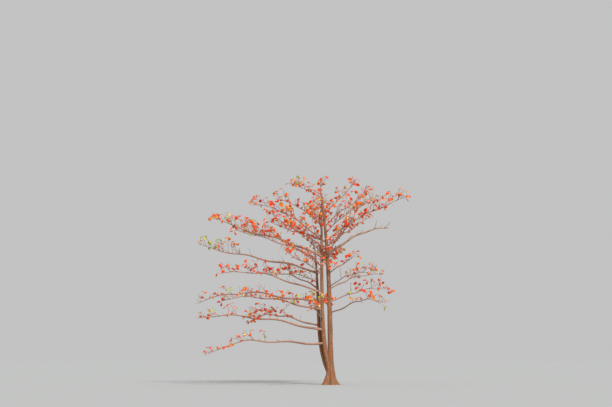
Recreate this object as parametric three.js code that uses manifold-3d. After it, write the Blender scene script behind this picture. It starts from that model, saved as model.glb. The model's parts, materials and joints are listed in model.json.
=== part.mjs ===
// A tropical almond tree: three stems from one root, boughs in spreading tiers and a thin crown of leaves.
// Millimetres and degrees, +Z up. The origin is the centre of the flat cut at ground level.
// +X is to the viewer's right and +Y is away from the viewer. A bearing turns from +X towards +Y.
import * as THREE from 'three';
import { mergeVertices } from 'three/addons/utils/BufferGeometryUtils.js';
import Module from 'manifold-3d';

const wasm = await Module();
wasm.setup();

// Driving dimensions
const clearance = 0.3;
const rootFlare = {
  spread: 390,
  buttresses: 5,
  valley: { share: 0.6, height: 300 },
  ridge: { share: 1.2, height: 560 },
};
const stemPlan = {
  trunk: { foot: 0, top: 12500, rootRadius: 185, tipRadius: 34, bearing: 168, spread: 0, lean: 620 },
  middle: { foot: 700, top: 11700, rootRadius: 150, tipRadius: 32, bearing: 201, spread: 590, lean: 0 },
  left: { foot: 600, top: 8700, rootRadius: 145, tipRadius: 30, bearing: 158, spread: 800, lean: 260 },
};
const stemOrder = ['trunk', 'middle', 'left'];
const stemPowers = { taper: 0.62, spread: 6, lean: 3 };

// Each bough: the stem that carries it, the height where it leaves, its bearing, its level reach, the height
// of its tip, the share of it that is bare limb, and how far it arches above that line. One with no bare
// share is a spray that springs from the stem, and a bare share of 1 is a dead limb, stouter by its girth.
const boughPlan = {
  right_high: { stem: 'trunk', from: 9250, bearing: 4, reach: 5150, tip: 12150, bare: 0.2, arch: 300 },
  right_middle: {
    stem: 'trunk', from: 8400, bearing: -9, reach: 4000, tip: 10000, bare: 1, arch: 450, girth: 2.4,
  },
  right_crest: { stem: 'trunk', from: 10150, bearing: -18, reach: 3000, tip: 12550 },
  right_inner: { stem: 'trunk', from: 7100, bearing: -28, reach: 1900, tip: 8200 },
  right_low: { stem: 'trunk', from: 5300, bearing: 9, reach: 3900, tip: 6150, bare: 0.3, arch: 300 },
  right_rise: { stem: 'trunk', from: 9750, bearing: 24, reach: 3500, tip: 12100, arch: 300 },
  top_right: { stem: 'trunk', from: 10850, bearing: 32, reach: 2450, tip: 13300 },
  left_high: { stem: 'middle', from: 8200, bearing: 183, reach: 6900, tip: 10700, bare: 0.27 },
  left_crest: { stem: 'middle', from: 9300, bearing: 171, reach: 4500, tip: 11650, arch: 550 },
  left_rise: { stem: 'middle', from: 10200, bearing: 184, reach: 3000, tip: 11950, arch: 350 },
  left_shoulder: { stem: 'left', from: 8150, bearing: 170, reach: 5300, tip: 10050, bare: 0.34, arch: 200 },
  left_middle: { stem: 'left', from: 7200, bearing: 177, reach: 7700, tip: 9100, bare: 0.58 },
  left_low: { stem: 'middle', from: 5900, bearing: 187, reach: 6500, tip: 7050, bare: 0.42, arch: 500 },
  left_outer: { stem: 'left', from: 5400, bearing: 175, reach: 7900, tip: 5250, bare: 0.34, arch: 600 },
  left_front: { stem: 'middle', from: 4800, bearing: 199, reach: 6700, tip: 5250, bare: 0.18, arch: 450 },
  left_skirt: { stem: 'middle', from: 3500, bearing: 181, reach: 8000, tip: 4250, bare: 0.44, arch: 400 },
  left_foot: { stem: 'middle', from: 2650, bearing: 191, reach: 7500, tip: 1950, bare: 0.48, arch: 550 },
  left_inner: { stem: 'middle', from: 7550, bearing: 206, reach: 2500, tip: 9050 },
  left_nook: { stem: 'left', from: 6550, bearing: 150, reach: 2300, tip: 7500 },
  back_inner: { stem: 'trunk', from: 8000, bearing: 118, reach: 2400, tip: 9550 },
  back_high: { stem: 'trunk', from: 10000, bearing: 100, reach: 4300, tip: 11900 },
  back_left_high: { stem: 'trunk', from: 9150, bearing: 139, reach: 5200, tip: 10900 },
  back_right_high: { stem: 'trunk', from: 8850, bearing: 47, reach: 4400, tip: 11350 },
  back_middle: { stem: 'trunk', from: 7300, bearing: 88, reach: 5600, tip: 8800, bare: 0.34, arch: 200 },
  back_left_middle: {
    stem: 'left', from: 6200, bearing: 128, reach: 5400, tip: 7450, bare: 0.36, arch: 300,
  },
  back_right_middle: {
    stem: 'trunk', from: 6100, bearing: 40, reach: 4500, tip: 7250, bare: 0.36, arch: 300,
  },
  back_low: { stem: 'trunk', from: 4500, bearing: 97, reach: 6000, tip: 5250, bare: 0.32, arch: 500 },
  back_left_low: { stem: 'left', from: 3800, bearing: 141, reach: 5900, tip: 4300, bare: 0.36, arch: 450 },
  front_high: { stem: 'middle', from: 9900, bearing: 268, reach: 3900, tip: 11400 },
  front_right_high: { stem: 'middle', from: 7750, bearing: 317, reach: 3400, tip: 11400 },
  front_left_high: { stem: 'middle', from: 8900, bearing: 226, reach: 4700, tip: 10600 },
  front_left_middle: { stem: 'middle', from: 7000, bearing: 231, reach: 3500, tip: 8350 },
  front_right_middle: {
    stem: 'trunk', from: 6250, bearing: 318, reach: 3100, tip: 7050, bare: 0.34, arch: 250,
  },
  front_right_low: {
    stem: 'trunk', from: 4600, bearing: 309, reach: 5000, tip: 5050, bare: 0.34, arch: 450,
  },
  front_low: { stem: 'middle', from: 4250, bearing: 262, reach: 5300, tip: 4650, bare: 0.34, arch: 450 },
};
const crestPlan = {
  trunk_top: { stem: 'trunk', rise: 480, drift: 260, bearing: 40 },
  middle_top: { stem: 'middle', rise: 1150, drift: 1950, bearing: 190 },
  left_top: { stem: 'left', rise: 850, drift: 800, bearing: 192 },
};
const boughRadii = { rootShare: 0.0092, leastRoot: 34, tip: 11, taperPower: 0.8 };
const boughBend = { levelling: 0.28, sway: 0.03, swayTurns: 0.75, ripple: 0.011, ripples: 5, archPower: 1.5 };
const twigForm = { lengthShare: 0.22, least: 450, most: 1300, onCrest: 620, radius: 20, sides: 3, fewest: 3 };
const twigVariety = { shortening: 0.5, least: 0.85, spread: 0.3 };
const twigPlaces = { first: 0.55, jitter: 0.3, spare: 0.6 };
const twigSpacing = { low: { tip: 5000, spacing: 900 }, high: { tip: 9500, spacing: 600 } };
const twigAngle = { fromStem: 50, spread: 16, lowestRise: 4, rise: 30, upturn: 1.1, tipUpturn: 0.5 };
const leafForm = { length: 600, width: 350, thickness: 22, fold: 34, widest: 0.62, sunk: 45, spacing: 52 };
const rosette = { leavesOnTwig: 3, leavesOnTip: 5, leastTilt: 40, tiltSpread: 36, jitter: 0.3 };
const room = { endMargin: 760, sideMargin: 640, height: 1050, border: 0.04, limbGap: 70 };

// How finely each kind of limb is faceted
const trunkFacets = { sides: 20, steps: 12, crowding: 1.7 };
const stemFacets = { sides: 8, steps: 9 };
const boughFacets = { sides: 6, steps: 6 };
const massFacets = { sides: 4, stepLength: 1100, leastSteps: 3 };
const limbSampleSpacing = 120;
const twigSamples = [0.3, 0.5, 0.75, 1];
const leafInnerSample = 0.35;
const weldDistance = 1e-3;
const mergeTolerance = 1;

// A heading that rises more than this is steep, and its limb's sides are laid out from another axis
const steepRise = 0.8;
const steepShootRise = 0.9;

const barkColour = new THREE.Color(0.46, 0.31, 0.22);
const leafColours = [
  new THREE.Color(0.8, 0.13, 0.05),
  new THREE.Color(0.86, 0.24, 0.06),
  new THREE.Color(0.66, 0.07, 0.05),
];

const up = new THREE.Vector3(0, 0, 1);

// The same whole-number rule gives the same tree every time
function seededRandom(seed) {
  let state = Math.imul(seed, 7919) >>> 0;
  const draw = () => {
    state = (Math.imul(state, 1664525) + 1013904223) >>> 0;
    return state / 4294967296;
  };
  draw();
  draw();
  return draw;
}

function levelDirection(degrees) {
  const angle = THREE.MathUtils.degToRad(degrees);
  return new THREE.Vector3(Math.cos(angle), Math.sin(angle), 0);
}

// Paths: each takes a share from 0 at the root to 1 at the tip
function stemPath(name) {
  const { foot, top, bearing, spread, lean } = stemPlan[name];
  const outward = levelDirection(bearing);
  const base = name === 'trunk' ? new THREE.Vector3() : trunkAxisAt(foot);
  return (share) => {
    const offset = spread * (1 - (1 - share) ** stemPowers.spread) + lean * share ** stemPowers.lean;
    return base.clone().setZ(foot + (top - foot) * share).addScaledVector(outward, offset);
  };
}

function trunkAxisAt(height) {
  const { top, bearing, lean } = stemPlan.trunk;
  return levelDirection(bearing).multiplyScalar(lean * (height / top) ** stemPowers.lean).setZ(height);
}

const stemPaths = Object.fromEntries(stemOrder.map((name) => [name, stemPath(name)]));

function pointOnStem(name, height) {
  const { foot, top } = stemPlan[name];
  return stemPaths[name]((height - foot) / (top - foot));
}

// A bough leaves its stem steeply, levels off and turns up again, or arches over and droops. It sways to the
// side and ripples a little on the way.
function boughPath(bough, index) {
  const { stem, from, bearing, reach, tip, arch = 0 } = bough;
  const { levelling, swayTurns, ripples, archPower } = boughBend;
  const root = pointOnStem(stem, from);
  const outward = levelDirection(bearing);
  const sideways = levelDirection(bearing + 90);
  const sway = reach * boughBend.sway * (index % 2 ? 1 : -1);
  const ripple = reach * boughBend.ripple;
  return (share) => {
    const climb = share + (levelling * Math.sin(2 * Math.PI * share)) / (2 * Math.PI);
    const arched = arch * Math.sin(Math.PI * share ** archPower);
    const rippled = ripple * Math.sin(Math.PI * share) * Math.sin(ripples * Math.PI * share + index);
    return root
      .clone()
      .addScaledVector(outward, reach * share)
      .addScaledVector(sideways, sway * Math.sin(2 * Math.PI * swayTurns * share))
      .addScaledVector(up, (tip - from) * climb + arched + rippled);
  };
}

// A crest carries on from the top of a stem and bends outward
function crestPath(crest) {
  const along = stemPaths[crest.stem];
  const root = along(1);
  const heading = tangentOf(along, 1);
  const outward = levelDirection(crest.bearing);
  return (share) =>
    root
      .clone()
      .addScaledVector(heading, crest.rise * share)
      .addScaledVector(outward, crest.drift * share ** 2);
}

function tangentOf(path, share) {
  const step = 0.001;
  const before = Math.max(0, share - step);
  return path(before + step).sub(path(before)).normalize();
}

// Solids
function solidFrom(geometry) {
  geometry.deleteAttribute('normal');
  geometry.deleteAttribute('uv');
  const merged = mergeVertices(geometry, weldDistance);
  return new wasm.Manifold(
    new wasm.Mesh({
      numProp: 3,
      vertProperties: merged.getAttribute('position').array,
      triVerts: new Uint32Array(merged.index.array),
    }),
  );
}

// A limb is a cylinder bent along its path between two shares of it, with its own radius all the way
function limbSolid({ path, from = 0, to = 1, radius, sides, steps, shift = new THREE.Vector3() }) {
  const geometry = new THREE.CylinderGeometry(1, 1, 1, sides, steps);
  const position = geometry.getAttribute('position');
  const first = tangentOf(path, from);
  const reference = Math.abs(first.z) > steepRise ? new THREE.Vector3(1, 0, 0) : up;
  const point = new THREE.Vector3();
  for (let i = 0; i < position.count; i++) {
    point.fromBufferAttribute(position, i);
    const share = from + (to - from) * (point.y + 0.5);
    const heading = tangentOf(path, share);
    const across = reference.clone().addScaledVector(heading, -reference.dot(heading)).normalize();
    const other = across.clone().cross(heading);
    const angle = Math.atan2(point.z, point.x);
    const distance = Math.hypot(point.x, point.z) * radius(share, angle);
    const placed = path(share).add(shift);
    placed.addScaledVector(across, distance * Math.cos(angle));
    placed.addScaledVector(other, distance * Math.sin(angle));
    position.setXYZ(i, placed.x, placed.y, placed.z);
  }
  return solidFrom(geometry);
}

// The stem's own taper, with the buttressed root flare on the trunk; extra is added all round
function stemRadius(name, extra = 0) {
  const { top, rootRadius, tipRadius } = stemPlan[name];
  return (share, angle) => {
    const taper = tipRadius + (rootRadius - tipRadius) * (1 - share) ** stemPowers.taper;
    if (name !== 'trunk') return taper + extra;
    const { valley, ridge } = rootFlare;
    const onRidge = 0.5 + 0.5 * Math.cos(rootFlare.buttresses * angle);
    const spread = rootFlare.spread * THREE.MathUtils.lerp(valley.share, ridge.share, onRidge);
    const height = THREE.MathUtils.lerp(valley.height, ridge.height, onRidge);
    return taper + spread * Math.exp((-top * share) / height) + extra;
  };
}

// The trunk's steps are short in the flare and long above it
function stemSolid(name, extra = 0) {
  const radius = stemRadius(name, extra);
  if (name !== 'trunk') return limbSolid({ path: stemPaths[name], radius, ...stemFacets });
  const { sides, steps, crowding } = trunkFacets;
  const path = (share) => stemPaths.trunk(share ** crowding);
  const crowdedRadius = (share, angle) => radius(share ** crowding, angle);
  return limbSolid({ path, radius: crowdedRadius, sides, steps });
}

function boughRadius({ reach, girth = 1 }) {
  const { rootShare, leastRoot, tip, taperPower } = boughRadii;
  const root = Math.max(leastRoot, rootShare * reach);
  return (share) => girth * (tip + (root - tip) * (1 - share) ** taperPower);
}

// A leaf is an octahedron drawn out to a root, a tip, two raised edges and a thin middle
function leafSolid({ root, direction, face }) {
  const { length, width, thickness, fold, widest } = leafForm;
  const geometry = new THREE.OctahedronGeometry(1);
  const position = geometry.getAttribute('position');
  const side = direction.clone().cross(face).normalize();
  const normal = side.clone().cross(direction);
  for (let i = 0; i < position.count; i++) {
    const across = (position.getX(i) * width) / 2;
    const along = position.getY(i) === 0 ? widest * length : position.getY(i) > 0 ? length : 0;
    const lift = (position.getZ(i) * thickness) / 2 + Math.abs(position.getX(i)) * fold;
    const placed = root.clone().addScaledVector(side, across);
    placed.addScaledVector(direction, along).addScaledVector(normal, lift);
    position.setXYZ(i, placed.x, placed.y, placed.z);
  }
  return solidFrom(geometry);
}

// The room of each mass: an ellipsoid round its own stem
function roomAround(path, from, twigLength) {
  const start = path(from);
  const end = path(1);
  const middle = path((from + 1) / 2);
  const centre = start.clone().add(end).multiplyScalar(0.5).lerp(middle, 0.5);
  const along = end.clone().sub(start);
  const axis = along.clone().normalize();
  const steep = Math.abs(axis.z) > steepRise;
  const sideways = (steep ? new THREE.Vector3(0, 1, 0) : up).clone().cross(axis).normalize();
  const third = axis.clone().cross(sideways);
  const halfWidth = twigLength + room.sideMargin;
  const halfHeight = steep ? halfWidth : room.height;
  const halfLength = along.length() / 2 + room.endMargin;
  return (point) => {
    const offset = point.clone().sub(centre);
    return Math.hypot(
      offset.dot(axis) / halfLength,
      offset.dot(sideways) / halfWidth,
      offset.dot(third) / halfHeight,
    );
  };
}

// The leaves of a rosette stand round the end of a shoot that runs along, and tilt out from its heading
function rosetteLeaves({ end, along, heading }, count, random) {
  const upright = Math.abs(heading.z) > steepShootRise;
  const across = heading.clone().cross(upright ? new THREE.Vector3(1, 0, 0) : up).normalize();
  const other = heading.clone().cross(across);
  const turn = random();
  return Array.from({ length: count }, (_, i) => {
    const angle = (2 * Math.PI * (i + turn + rosette.jitter * random())) / count;
    const tilt = THREE.MathUtils.degToRad(rosette.leastTilt + rosette.tiltSpread * random());
    const radial = across.clone().multiplyScalar(Math.cos(angle)).addScaledVector(other, Math.sin(angle));
    const direction = heading.clone().multiplyScalar(Math.cos(tilt)).addScaledVector(radial, Math.sin(tilt));
    const root = end.clone().addScaledVector(along, -leafForm.sunk - i * leafForm.spacing);
    return { root, direction, face: heading };
  });
}

// Side twigs stand left and right of the mass's stem in turn, shorter towards its tip and closer high up
function twigsAlong(mass, random) {
  const { path, from, twigLength, length } = mass;
  const { low, high } = twigSpacing;
  const tip = THREE.MathUtils.clamp(path(1).z, low.tip, high.tip);
  const spacing = THREE.MathUtils.mapLinear(tip, low.tip, high.tip, low.spacing, high.spacing);
  const count = Math.max(twigForm.fewest, Math.round(length / spacing));
  return Array.from({ length: count }, (_, i) => {
    const place = (i + twigPlaces.first + twigPlaces.jitter * random()) / (count + twigPlaces.spare);
    const share = from + (1 - from) * place;
    const heading = tangentOf(path, share);
    const side = (i + mass.index) % 2 ? 1 : -1;
    const turn = twigAngle.fromStem + twigAngle.spread * (2 * random() - 1);
    const rise = THREE.MathUtils.degToRad(twigAngle.lowestRise + twigAngle.rise * random());
    const shortened = twigLength * (1 - twigVariety.shortening * place);
    const reach = Math.max(twigForm.least, shortened * (twigVariety.least + twigVariety.spread * random()));
    const outward = heading.clone().applyAxisAngle(up, side * THREE.MathUtils.degToRad(turn)).normalize();
    const along = outward.multiplyScalar(Math.cos(rise)).addScaledVector(up, Math.sin(rise));
    const root = path(share);
    const end = root.clone().addScaledVector(along, reach);
    return { root, end, along, heading: along.clone().addScaledVector(up, twigAngle.upturn).normalize() };
  });
}

// What a mass may not touch: its neighbours' rooms and every limb
function keepsClear(points, mass, masses, limbPoints) {
  return points.every((point) => {
    const own = mass.roomShare(point);
    if (own > 1) return false;
    if (masses.some((other) => other !== mass && other.roomShare(point) < own + room.border)) return false;
    return limbPoints.every(({ at, radius }) => at.distanceTo(point) > radius + room.limbGap);
  });
}

function leafPoints({ root, direction, face }) {
  const { length, width, widest } = leafForm;
  const side = direction.clone().cross(face).normalize();
  const at = (along, across) => {
    const onMidrib = root.clone().addScaledVector(direction, along * length);
    return onMidrib.addScaledVector(side, across * width);
  };
  const nearTip = (1 + widest) / 2;
  const edges = [at(widest, 0.5), at(widest, -0.5), at(nearTip, 0.25), at(nearTip, -0.25)];
  return [at(leafInnerSample, 0), at(widest, 0), at(1, 0), ...edges];
}

function growMass(mass, masses, limbPoints) {
  const random = seededRandom(mass.index + 1);
  const ahead = tangentOf(mass.path, mass.from);
  const shift = ahead.clone().multiplyScalar(mass.from > 0 || mass.isCrest ? clearance : 0);
  const { sides, stepLength, leastSteps } = massFacets;
  const steps = Math.max(leastSteps, Math.round(mass.length / stepLength));
  const solids = [limbSolid({ path: mass.path, from: mass.from, radius: mass.radius, sides, steps, shift })];
  const along = tangentOf(mass.path, 1);
  const heading = along.clone().addScaledVector(up, twigAngle.tipUpturn).normalize();
  const tip = { end: mass.path(1), along, heading };
  const leaves = rosetteLeaves(tip, rosette.leavesOnTip, random);
  for (const twig of twigsAlong(mass, random)) {
    const twigLeaves = rosetteLeaves(twig, rosette.leavesOnTwig, random);
    const path = (share) => twig.root.clone().lerp(twig.end, share);
    if (!keepsClear(twigSamples.map(path), mass, masses, limbPoints)) continue;
    solids.push(limbSolid({ path, radius: () => twigForm.radius, sides: twigForm.sides, steps: 1 }));
    leaves.push(...twigLeaves);
  }
  for (const leaf of leaves) {
    if (keepsClear(leafPoints(leaf), mass, masses, limbPoints)) solids.push(leafSolid(leaf));
  }
  return wasm.Manifold.union(solids).asOriginal().simplify(mergeTolerance);
}

// Only the largest closed body is kept, without scraps or sealed hollows
function largestBody(solid) {
  return solid.decompose().sort((a, b) => b.volume() - a.volume())[0];
}

function meshOf(name, solid, material) {
  const { vertProperties, triVerts } = largestBody(solid).getMesh();
  const geometry = new THREE.BufferGeometry();
  geometry.setAttribute('position', new THREE.BufferAttribute(vertProperties, 3));
  geometry.setIndex(new THREE.BufferAttribute(triVerts, 1));
  geometry.computeVertexNormals();
  const mesh = new THREE.Mesh(geometry, material);
  mesh.name = name;
  return mesh;
}

// Places along each limb, with its radius there, for keeping the foliage off it
function pointsAlongLimb({ path, from = 0, to = 1, radius, length }) {
  const count = Math.ceil(length / limbSampleSpacing);
  return Array.from({ length: count + 1 }, (_, i) => {
    const share = from + ((to - from) * i) / count;
    return { at: path(share), radius: radius(share, 0) };
  });
}

function makeBoughs() {
  return Object.entries(boughPlan).map(([name, bough], index) => {
    const { stem, bare = 0, reach } = bough;
    return { name, stem, bare, reach, path: boughPath(bough, index), radius: boughRadius(bough) };
  });
}

function makeMasses(boughs) {
  const leafyBoughs = boughs.filter(({ bare }) => bare < 1);
  const fromBoughs = leafyBoughs.map(({ name, stem, bare, reach, path, radius }) => {
    const twigLength = Math.min(twigForm.most, twigForm.lengthShare * reach);
    return { name, stem, path, radius, from: bare, length: reach * (1 - bare), twigLength };
  });
  const fromCrests = Object.entries(crestPlan).map(([name, crest]) => {
    const stemTip = stemPlan[crest.stem].tipRadius;
    const radius = (share) => stemTip + (boughRadii.tip - stemTip) * share;
    const length = Math.hypot(crest.rise, crest.drift);
    const path = crestPath(crest);
    return { name, path, from: 0, length, twigLength: twigForm.onCrest, radius, isCrest: true };
  });
  return [...fromBoughs, ...fromCrests].map((mass, index) => ({
    ...mass,
    index,
    roomShare: roomAround(mass.path, mass.from, mass.twigLength),
  }));
}

function almondTree() {
  const tree = new THREE.Group();
  const bark = new THREE.MeshStandardMaterial({ color: barkColour, roughness: 0.85, metalness: 0 });
  const foliage = leafColours.map(
    (color) => new THREE.MeshStandardMaterial({ color, roughness: 0.45, metalness: 0 }),
  );
  const boughs = makeBoughs();
  const bareBoughs = boughs.filter(({ bare }) => bare > 0);
  const masses = makeMasses(boughs);

  // Each later stem is cut clear of the ones before it, where they rise together from the root
  const stems = {};
  for (const name of stemOrder) {
    stems[name] = Object.keys(stems).reduce(
      (solid, earlier) => solid.subtract(stemSolid(earlier, clearance)),
      stemSolid(name),
    );
    tree.add(meshOf(name === 'trunk' ? 'trunk' : `stem_${name}`, stems[name], bark));
  }

  for (const { name, stem, bare, path, radius } of bareBoughs) {
    const whole = limbSolid({ path, to: bare, radius, ...boughFacets });
    tree.add(meshOf(`bough_${name}`, whole.subtract(stemSolid(stem, clearance)), bark));
  }

  const limbPoints = [
    ...stemOrder.flatMap((name) => {
      const { foot, top } = stemPlan[name];
      return pointsAlongLimb({ path: stemPaths[name], radius: stemRadius(name), length: top - foot });
    }),
    ...bareBoughs.flatMap(({ path, bare, radius, reach }) =>
      pointsAlongLimb({ path, to: bare, radius, length: reach * bare }),
    ),
  ];
  masses.forEach((mass, index) => {
    const grown = growMass(mass, masses, limbPoints);
    const springsFromStem = mass.from === 0 && !mass.isCrest;
    const solid = springsFromStem ? grown.subtract(stemSolid(mass.stem, clearance)) : grown;
    tree.add(meshOf(`foliage_${mass.name}`, solid, foliage[index % foliage.length]));
  });
  return tree;
}

export default almondTree();
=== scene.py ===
# A tropical almond in autumn: furrowed stems, tiered boughs and broad leaves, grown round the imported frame.
# Metres, +Z up, +X to the viewer's right, +Y away from the viewer. A bearing turns from +X towards +Y.
import json
import math

import bpy
import numpy as np
from mathutils import Matrix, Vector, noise

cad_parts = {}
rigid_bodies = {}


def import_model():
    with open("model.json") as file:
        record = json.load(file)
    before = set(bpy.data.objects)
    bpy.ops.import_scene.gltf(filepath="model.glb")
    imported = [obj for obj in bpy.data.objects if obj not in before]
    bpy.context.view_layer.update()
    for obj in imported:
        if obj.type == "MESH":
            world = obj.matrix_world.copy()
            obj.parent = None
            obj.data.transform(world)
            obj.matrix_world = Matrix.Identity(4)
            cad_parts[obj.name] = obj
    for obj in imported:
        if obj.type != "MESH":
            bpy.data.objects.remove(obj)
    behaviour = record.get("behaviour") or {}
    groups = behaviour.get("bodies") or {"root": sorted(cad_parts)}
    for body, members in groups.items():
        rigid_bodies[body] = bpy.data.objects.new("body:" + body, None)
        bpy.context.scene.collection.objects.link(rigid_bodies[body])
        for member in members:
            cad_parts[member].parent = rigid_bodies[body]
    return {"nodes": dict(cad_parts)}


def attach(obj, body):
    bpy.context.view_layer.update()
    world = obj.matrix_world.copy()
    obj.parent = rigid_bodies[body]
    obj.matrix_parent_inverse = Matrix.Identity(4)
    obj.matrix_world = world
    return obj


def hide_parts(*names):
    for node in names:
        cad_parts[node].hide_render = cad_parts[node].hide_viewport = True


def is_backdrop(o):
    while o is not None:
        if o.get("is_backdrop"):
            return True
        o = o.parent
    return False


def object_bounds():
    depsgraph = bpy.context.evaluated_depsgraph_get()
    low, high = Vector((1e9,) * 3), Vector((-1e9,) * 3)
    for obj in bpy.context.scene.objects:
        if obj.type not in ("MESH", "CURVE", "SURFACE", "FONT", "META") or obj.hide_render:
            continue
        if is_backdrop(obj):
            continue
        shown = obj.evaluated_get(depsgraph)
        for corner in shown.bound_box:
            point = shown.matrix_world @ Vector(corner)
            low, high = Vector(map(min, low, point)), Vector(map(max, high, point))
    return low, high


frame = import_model()
cadLow, cadHigh = (np.array(corner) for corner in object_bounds())
print("frame:", len(frame["nodes"]), "nodes")

upward = np.array([0.0, 0.0, 1.0])
rightward = np.array([1.0, 0.0, 0.0])
awayward = np.array([0.0, 1.0, 0.0])
levelPart = np.array([1, 1, 0])  # takes the rise out of a heading
nudge = rightward * 0.001  # leaves an upright heading some level part

# The tree's plan, the same as the frame's
rootFlare = {"spread": 0.39, "buttresses": 5, "valley": (0.6, 0.3), "ridge": (1.2, 0.56)}  # share, height
stemPlan = {
    "trunk": {
        "foot": 0, "top": 12.5, "root": 0.185, "tip": 0.034, "bearing": 168, "spread": 0, "lean": 0.62,
    },
    "middle": {
        "foot": 0.7, "top": 11.7, "root": 0.15, "tip": 0.032, "bearing": 201, "spread": 0.59, "lean": 0,
    },
    "left": {
        "foot": 0.6, "top": 8.7, "root": 0.145, "tip": 0.03, "bearing": 158, "spread": 0.8, "lean": 0.26,
    },
}
stemPowers = {"taper": 0.62, "spread": 6, "lean": 3}
# Each bough: its stem, the height where it leaves, bearing, level reach, height of its tip, bare share, arch
boughFields = ("stem", "start", "bearing", "reach", "tip", "bare", "arch")
boughPlan = {
    "right_high": ("trunk", 9.25, 4, 5.15, 12.15, 0.2, 0.3),
    "right_middle": ("trunk", 8.4, -9, 4, 10, 1, 0.45),
    "right_crest": ("trunk", 10.15, -18, 3, 12.55, 0, 0),
    "right_inner": ("trunk", 7.1, -28, 1.9, 8.2, 0, 0),
    "right_low": ("trunk", 5.3, 9, 3.9, 6.15, 0.3, 0.3),
    "right_rise": ("trunk", 9.75, 24, 3.5, 12.1, 0, 0.3),
    "top_right": ("trunk", 10.85, 32, 2.45, 13.3, 0, 0),
    "left_high": ("middle", 8.2, 183, 6.9, 10.7, 0.27, 0),
    "left_crest": ("middle", 9.3, 171, 4.5, 11.65, 0, 0.55),
    "left_rise": ("middle", 10.2, 184, 3, 11.95, 0, 0.35),
    "left_shoulder": ("left", 8.15, 170, 5.3, 10.05, 0.34, 0.2),
    "left_middle": ("left", 7.2, 177, 7.7, 9.1, 0.58, 0),
    "left_low": ("middle", 5.9, 187, 6.5, 7.05, 0.42, 0.5),
    "left_outer": ("left", 5.4, 175, 7.9, 5.25, 0.34, 0.6),
    "left_front": ("middle", 4.8, 199, 6.7, 5.25, 0.18, 0.45),
    "left_skirt": ("middle", 3.5, 181, 8, 4.25, 0.44, 0.4),
    "left_foot": ("middle", 2.65, 191, 7.5, 1.95, 0.48, 0.55),
    "left_inner": ("middle", 7.55, 206, 2.5, 9.05, 0, 0),
    "left_nook": ("left", 6.55, 150, 2.3, 7.5, 0, 0),
    "back_inner": ("trunk", 8, 118, 2.4, 9.55, 0, 0),
    "back_high": ("trunk", 10, 100, 4.3, 11.9, 0, 0),
    "back_left_high": ("trunk", 9.15, 139, 5.2, 10.9, 0, 0),
    "back_right_high": ("trunk", 8.85, 47, 4.4, 11.35, 0, 0),
    "back_middle": ("trunk", 7.3, 88, 5.6, 8.8, 0.34, 0.2),
    "back_left_middle": ("left", 6.2, 128, 5.4, 7.45, 0.36, 0.3),
    "back_right_middle": ("trunk", 6.1, 40, 4.5, 7.25, 0.36, 0.3),
    "back_low": ("trunk", 4.5, 97, 6, 5.25, 0.32, 0.5),
    "back_left_low": ("left", 3.8, 141, 5.9, 4.3, 0.36, 0.45),
    "front_high": ("middle", 9.9, 268, 3.9, 11.4, 0, 0),
    "front_right_high": ("middle", 7.75, 317, 3.4, 11.4, 0, 0),
    "front_left_high": ("middle", 8.9, 226, 4.7, 10.6, 0, 0),
    "front_left_middle": ("middle", 7, 231, 3.5, 8.35, 0, 0),
    "front_right_middle": ("trunk", 6.25, 318, 3.1, 7.05, 0.34, 0.25),
    "front_right_low": ("trunk", 4.6, 309, 5, 5.05, 0.34, 0.45),
    "front_low": ("middle", 4.25, 262, 5.3, 4.65, 0.34, 0.45),
}
# Each crest carries on from the top of its stem: rise along the stem, drift outward, bearing
crestPlan = {
    "trunk_top": ("trunk", 0.48, 0.26, 40),
    "middle_top": ("middle", 1.15, 1.95, 190),
    "left_top": ("left", 0.85, 0.8, 192),
}
boughRadii = {"rootShare": 0.0092, "leastRoot": 0.034, "tip": 0.011, "taperPower": 0.8}
boughGirth = {"right_middle": 2.4}  # a stout dead limb
boughBend = {
    "levelling": 0.28, "sway": 0.03, "swayTurns": 0.75, "ripple": 0.011, "ripples": 5, "archPower": 1.5,
}
twigForm = {"lengthShare": 0.22, "least": 0.45, "most": 1.3, "onCrest": 0.62, "fewest": 3}
twigVariety = {"shortening": 0.5, "least": 0.85, "spread": 0.3}
twigPlaces = {"first": 0.55, "jitter": 0.3, "spare": 0.6}
twigSpacing = {"lowTip": 5.0, "lowSpacing": 0.9, "highTip": 9.5, "highSpacing": 0.6}
twigAngle = {"fromStem": 50, "spread": 16, "lowestRise": 4, "rise": 30, "upturn": 1.1, "tipUpturn": 0.5}
twigSamples = (0.3, 0.5, 0.75, 1)
sprayForm = {"length": 0.6, "width": 0.35, "widest": 0.62, "sunk": 0.045, "spacing": 0.052, "inner": 0.35}
rosetteOfSprays = {"onTwig": 3, "onTip": 5, "leastTilt": 40, "tiltSpread": 36, "jitter": 0.3}
room = {"endMargin": 0.76, "sideMargin": 0.64, "height": 1.05, "border": 0.04, "limbGap": 0.07}
limbSampleSpacing = 0.12
# A heading that rises more than this is steep, and takes another axis to lay things out from
steepRise = 0.8
steepShootRise = 0.9
randomRule = {"seedStep": 7919, "factor": 1664525, "step": 1013904223, "size": 2**32}


# The same whole-number rule gives the same tree every time
def drawsFrom(seed):
    size = randomRule["size"]
    state = seed * randomRule["seedStep"] % size

    def draw():
        nonlocal state
        state = (state * randomRule["factor"] + randomRule["step"]) % size
        return state / size

    draw()
    draw()
    return draw


def unit(vector):
    return vector / np.linalg.norm(vector)


def levelDirection(degrees):
    angle = math.radians(degrees)
    return np.array([math.cos(angle), math.sin(angle), 0.0])


def turned(vector, degrees):
    # about the upward axis
    angle = math.radians(degrees)
    x, y, z = vector
    return np.array([x * math.cos(angle) - y * math.sin(angle), x * math.sin(angle) + y * math.cos(angle), z])


def swung(axis, other, angle):
    # from one axis towards another at right angles to it
    return axis * math.cos(angle) + other * math.sin(angle)


def raised(level, degrees):
    return swung(level, upward, math.radians(degrees))


def evenShares(steps, first=0):
    return [first + (1 - first) * i / steps for i in range(steps + 1)]


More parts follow.
